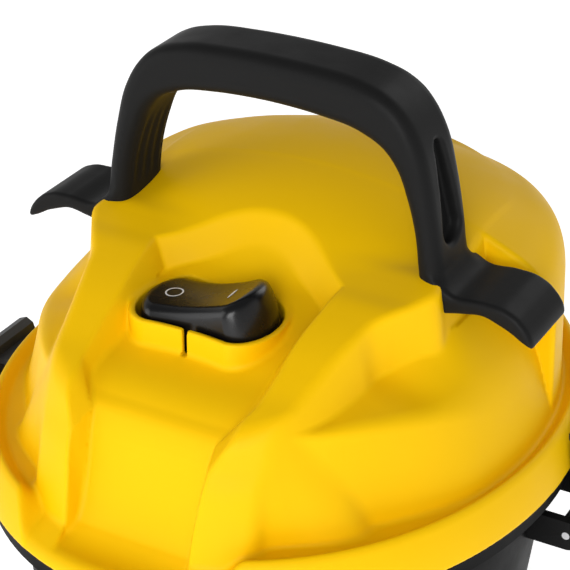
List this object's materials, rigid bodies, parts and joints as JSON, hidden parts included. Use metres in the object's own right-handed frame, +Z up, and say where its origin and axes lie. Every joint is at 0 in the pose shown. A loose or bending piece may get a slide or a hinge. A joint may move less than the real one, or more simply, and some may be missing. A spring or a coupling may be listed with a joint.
{
  "type": "shop vacuum",
  "caption": "Small wet and dry shop vacuum: oval yellow head with recessed rocker switch, black arched handle with hose hooks, black tub on swivel castors.",
  "frame": {"origin": "floor point under the middle of the container, midway between its two ends and its two latches", "axes": "+Z up, -Y towards the front (rocker switch and hose inlet), +X towards the right-hand hook as seen from the front"},
  "size_m": [0.311, 0.346, 0.404],
  "materials": {
    "brass": "drawn",
    "carbon": "pressed carbon",
    "castor_black": "moulded",
    "castor_tread": "moulded tread",
    "commutator_copper": "turned copper",
    "copper": "enamelled copper wire",
    "core_steel": "laminated",
    "cover_yellow": "satin moulded",
    "deck_black": "moulded",
    "fan_aluminium": "pressed",
    "filter_paper": "pleated paper",
    "filter_rubber": "moulded",
    "float_white": "moulded",
    "foam_grey": "open foam",
    "handle_black": "satin moulded",
    "latch_black": "satin",
    "rocker_black": "glossy",
    "screw_steel": "zinc plated",
    "seal_rubber": "matte",
    "shaft_steel": "ground",
    "sheet_steel": "zinc plated sheet",
    "switch_case": "moulded",
    "tub_black": "fine grain"
  },
  "bodies": {
    "vacuum": {"bearing_lower": "shaft_steel", "bearing_upper": "shaft_steel", "blower_port": "deck_black", "bridge_screws": "screw_steel", "brush_holders": "brass", "brush_springs": "screw_steel", "carbon_brushes": "carbon", "carry_handle": "handle_black", "container": "tub_black", "cord_gland": "seal_rubber", "cover_screws": "screw_steel", "diffuser_plate": "deck_black", "exhaust_foam": "foam_grey", "fan_cover": "sheet_steel", "filter_cap_lower": "filter_rubber", "filter_cap_upper": "filter_rubber", "filter_nut": "deck_black", "filter_pleats": "filter_paper", "float_cage": "deck_black", "handle_screws": "screw_steel", "head_base": "deck_black", "head_cover": "cover_yellow", "inlet_deflector": "deck_black", "inlet_fitting": "deck_black", "inlet_seal": "seal_rubber", "latch_pin_left": "screw_steel", "latch_pin_right": "screw_steel", "motor_bridge": "deck_black", "motor_can": "sheet_steel", "motor_cap_upper": "seal_rubber", "motor_ring_lower": "seal_rubber", "rim_seal": "seal_rubber", "stator_coils": "copper", "stator_core": "core_steel", "switch_body": "switch_case"},
    "rocker": {"switch_rocker": "rocker_black"},
    "rotor": {"rotor_shaft": "shaft_steel", "rotor_core": "core_steel", "rotor_winding": "copper", "commutator": "commutator_copper", "impeller": "fan_aluminium", "impeller_nut": "screw_steel"},
    "float": {"float_valve": "float_white"},
    "latch_left": {"latch_left": "latch_black"},
    "latch_right": {"latch_right": "latch_black"},
    "castor_1": {"castor_fork_1": "castor_black", "castor_axle_1": "screw_steel"},
    "wheel_1": {"castor_wheel_1": "castor_tread"},
    "castor_2": {"castor_fork_2": "castor_black", "castor_axle_2": "screw_steel"},
    "wheel_2": {"castor_wheel_2": "castor_tread"},
    "castor_3": {"castor_fork_3": "castor_black", "castor_axle_3": "screw_steel"},
    "wheel_3": {"castor_wheel_3": "castor_tread"},
    "castor_4": {"castor_fork_4": "castor_black", "castor_axle_4": "screw_steel"},
    "wheel_4": {"castor_wheel_4": "castor_tread"}
  },
  "joints": [
    {"name": "rocker_tilt", "type": "hinge", "parent": "vacuum", "child": "rocker", "pos_m": [-0.006, -0.067, 0.291], "axis": [0, 1, 0], "range_deg": [0, 28]},
    {"name": "rotor_spin", "type": "hinge", "parent": "vacuum", "child": "rotor", "pos_m": [0, 0.028, 0.25], "axis": [0, 0, 1], "continuous": true},
    {"name": "float_rise", "type": "slide", "parent": "vacuum", "child": "float", "axis": [0, 0, 1], "range_m": [0, 0.024]},
    {"name": "latch_left_open", "type": "hinge", "parent": "vacuum", "child": "latch_left", "pos_m": [-0.1465, -0.035, 0.172], "axis": [0, -1, 0], "range_deg": [0, 100]},
    {"name": "latch_right_open", "type": "hinge", "parent": "vacuum", "child": "latch_right", "pos_m": [0.1465, 0.035, 0.172], "axis": [0, 1, 0], "range_deg": [0, 100]},
    {"name": "castor_1_swivel", "type": "hinge", "parent": "vacuum", "child": "castor_1", "pos_m": [-0.072, -0.088, 0.04], "axis": [0, 0, 1], "continuous": true},
    {"name": "wheel_1_spin", "type": "hinge", "parent": "castor_1", "child": "wheel_1", "pos_m": [-0.072, -0.074, 0.018], "axis": [1, 0, 0], "continuous": true},
    {"name": "castor_2_swivel", "type": "hinge", "parent": "vacuum", "child": "castor_2", "pos_m": [-0.072, 0.088, 0.04], "axis": [0, 0, 1], "continuous": true},
    {"name": "wheel_2_spin", "type": "hinge", "parent": "castor_2", "child": "wheel_2", "pos_m": [-0.072, 0.102, 0.018], "axis": [1, 0, 0], "continuous": true},
    {"name": "castor_3_swivel", "type": "hinge", "parent": "vacuum", "child": "castor_3", "pos_m": [0.072, -0.088, 0.04], "axis": [0, 0, 1], "continuous": true},
    {"name": "wheel_3_spin", "type": "hinge", "parent": "castor_3", "child": "wheel_3", "pos_m": [0.072, -0.074, 0.018], "axis": [1, 0, 0], "continuous": true},
    {"name": "castor_4_swivel", "type": "hinge", "parent": "vacuum", "child": "castor_4", "pos_m": [0.072, 0.088, 0.04], "axis": [0, 0, 1], "continuous": true},
    {"name": "wheel_4_spin", "type": "hinge", "parent": "castor_4", "child": "wheel_4", "pos_m": [0.072, 0.102, 0.018], "axis": [1, 0, 0], "continuous": true}
  ]
}
